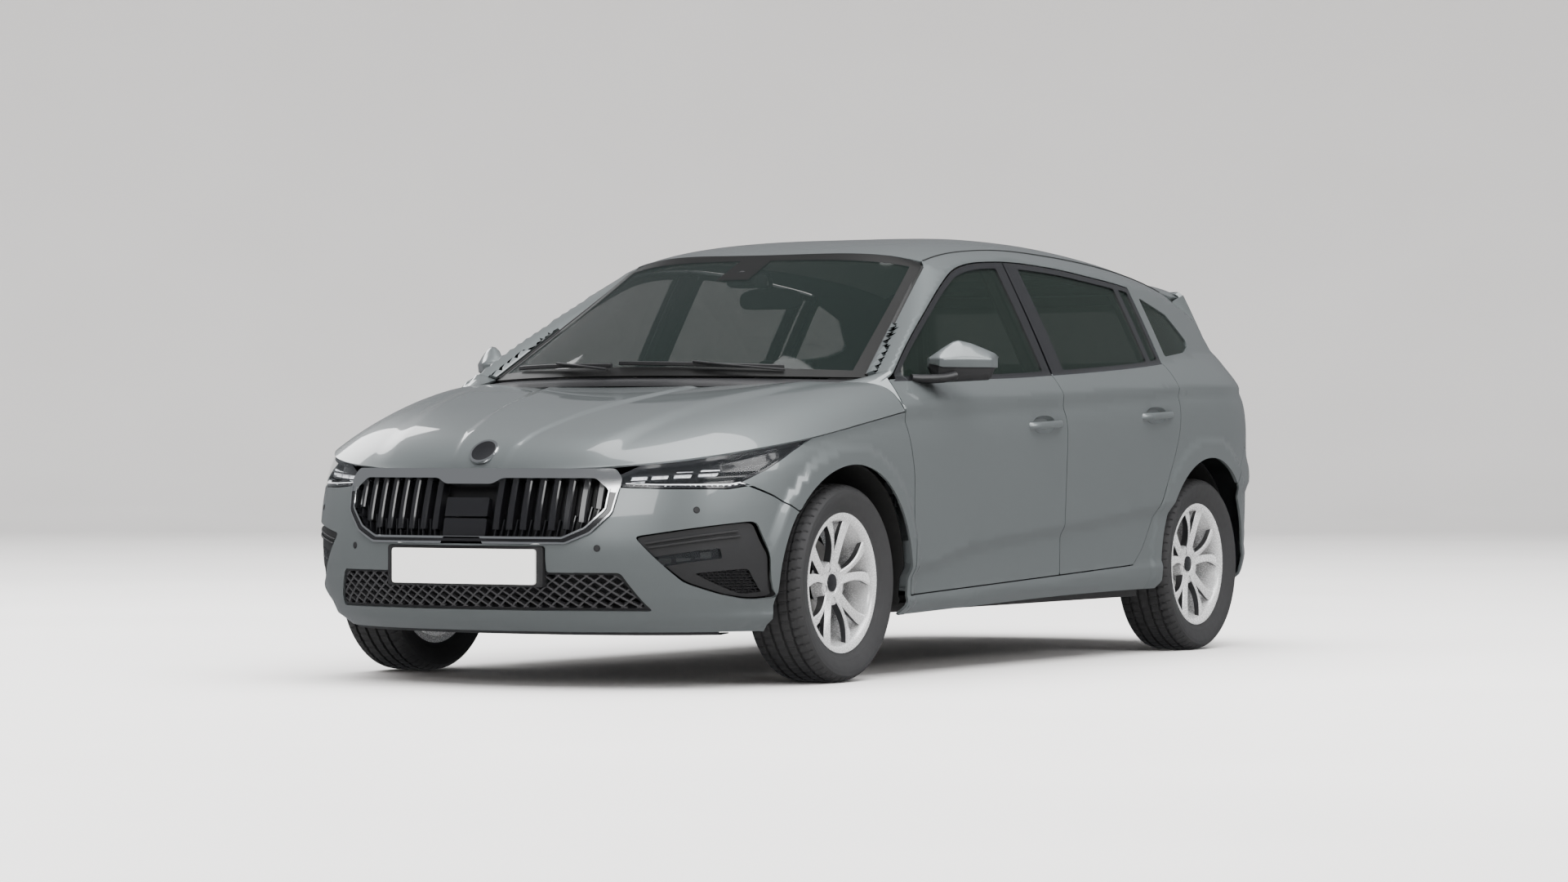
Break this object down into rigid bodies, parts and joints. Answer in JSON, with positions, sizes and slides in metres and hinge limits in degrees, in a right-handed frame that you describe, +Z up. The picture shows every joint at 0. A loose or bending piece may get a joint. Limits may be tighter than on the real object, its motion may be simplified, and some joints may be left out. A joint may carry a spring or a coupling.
{
  "type": "hatchback car",
  "caption": "Five-door hatchback car with opening doors, bonnet and tailgate, steered front wheels, seats and turning alloy wheels.",
  "frame": {"origin": "middle of the car's outline on the floor, between the two axles' planes", "axes": "+Z up, -Y to the front of the car, +X to the car's left side"},
  "size_m": [2.0372, 4.3638, 1.4702],
  "materials": {
    "paint": "metallic gloss",
    "side_glass": "tinted",
    "screen_glass": "clear",
    "grille_plastic": "gloss",
    "lamp_lens": "clear",
    "red_lens": "gloss",
    "cast_metal": "cast",
    "chassis_paint": "satin black",
    "liner_plastic": "matt",
    "engine_metal": "cast",
    "seat_fabric": "woven",
    "dash_plastic": "soft matt",
    "wheel_leather": "satin",
    "exhaust_metal": "satin",
    "trim_plastic": "matt",
    "alloy": "painted silver",
    "tyre": "matt"
  },
  "bodies": {
    "chassis": {"body_side_left": "paint", "body_side_right": "paint", "quarter_windows": "side_glass", "wings": "paint", "roof_panel": "paint", "windscreen": "screen_glass", "front_bumper": "paint", "grille": "grille_plastic", "lower_grilles": "grille_plastic", "headlamps": "lamp_lens", "rear_bumper": "paint", "tail_lamps": "red_lens", "front_suspension": "chassis_paint", "rear_axle": "chassis_paint", "arch_liners": "liner_plastic", "floor_pan": "chassis_paint", "bulkhead": "chassis_paint", "front_frame": "chassis_paint", "engine_block": "engine_metal", "front_seats": "seat_fabric", "rear_seat": "seat_fabric", "dashboard": "dash_plastic", "exhaust": "exhaust_metal", "wipers": "trim_plastic"},
    "front_door_left": {"door_front_left": "paint", "window_front_left": "side_glass", "mirror_left": "paint"},
    "rear_door_left": {"door_rear_left": "paint", "window_rear_left": "side_glass"},
    "steered_hub_left": {"knuckle_left": "cast_metal"},
    "front_wheel_left": {"rim_front_left": "alloy", "tyre_front_left": "tyre"},
    "rear_wheel_left": {"rim_rear_left": "alloy", "tyre_rear_left": "tyre"},
    "front_door_right": {"door_front_right": "paint", "window_front_right": "side_glass", "mirror_right": "paint"},
    "rear_door_right": {"door_rear_right": "paint", "window_rear_right": "side_glass"},
    "steered_hub_right": {"knuckle_right": "cast_metal"},
    "front_wheel_right": {"rim_front_right": "alloy", "tyre_front_right": "tyre"},
    "rear_wheel_right": {"rim_rear_right": "alloy", "tyre_rear_right": "tyre"},
    "bonnet_lid": {"bonnet": "paint"},
    "tailgate_lid": {"tailgate": "paint", "tailgate_window": "side_glass"},
    "hand_wheel": {"steering_wheel": "wheel_leather"}
  },
  "joints": [
    {"name": "front_door_left_hinge", "type": "hinge", "parent": "chassis", "child": "front_door_left", "pos_m": [0.8685, -1.00752, 0.651], "axis": [0, 0, -1], "range_deg": [0, 55]},
    {"name": "rear_door_left_hinge", "type": "hinge", "parent": "chassis", "child": "rear_door_left", "pos_m": [0.8685, 0.10879, 0.625], "axis": [0, 0, -1], "range_deg": [0, 66]},
    {"name": "front_door_right_hinge", "type": "hinge", "parent": "chassis", "child": "front_door_right", "pos_m": [-0.8685, -1.00752, 0.651], "axis": [0, 0, 1], "range_deg": [0, 55]},
    {"name": "rear_door_right_hinge", "type": "hinge", "parent": "chassis", "child": "rear_door_right", "pos_m": [-0.8685, 0.10879, 0.625], "axis": [0, 0, 1], "range_deg": [0, 66]},
    {"name": "bonnet_hinge", "type": "hinge", "parent": "chassis", "child": "bonnet_lid", "pos_m": [0, -0.908, 0.905], "axis": [-1, 0, 0], "range_deg": [0, 50]},
    {"name": "tailgate_hinge", "type": "hinge", "parent": "chassis", "child": "tailgate_lid", "pos_m": [0, 1.55523, 1.33994], "axis": [1, 0, 0], "range_deg": [0, 75]},
    {"name": "steer_left", "type": "hinge", "parent": "chassis", "child": "steered_hub_left", "pos_m": [0.68, -1.31, 0.205], "axis": [-0.1947, 0, 0.9809], "range_deg": [-32, 32]},
    {"name": "front_wheel_left_spin", "type": "hinge", "parent": "steered_hub_left", "child": "front_wheel_left", "pos_m": [0.7655, -1.31, 0.311], "axis": [1, 0, 0], "continuous": true},
    {"name": "rear_wheel_left_spin", "type": "hinge", "parent": "chassis", "child": "rear_wheel_left", "pos_m": [0.758, 1.339, 0.311], "axis": [1, 0, 0], "continuous": true},
    {"name": "steer_right", "type": "hinge", "parent": "chassis", "child": "steered_hub_right", "pos_m": [-0.68, -1.31, 0.205], "axis": [0.1947, 0, 0.9809], "range_deg": [-32, 32]},
    {"name": "front_wheel_right_spin", "type": "hinge", "parent": "steered_hub_right", "child": "front_wheel_right", "pos_m": [-0.7655, -1.31, 0.311], "axis": [1, 0, 0], "continuous": true},
    {"name": "rear_wheel_right_spin", "type": "hinge", "parent": "chassis", "child": "rear_wheel_right", "pos_m": [-0.758, 1.339, 0.311], "axis": [1, 0, 0], "continuous": true},
    {"name": "steering_wheel_turn", "type": "hinge", "parent": "chassis", "child": "hand_wheel", "pos_m": [0.365, -0.395, 0.8], "axis": [0, 0.9135, 0.4067], "range_deg": [-500, 500]}
  ],
  "couplings": [
    {"joint": "steer_right", "follows": "steer_left", "ratio": 1},
    {"joint": "steering_wheel_turn", "follows": "steer_left", "ratio": 14.3}
  ]
}
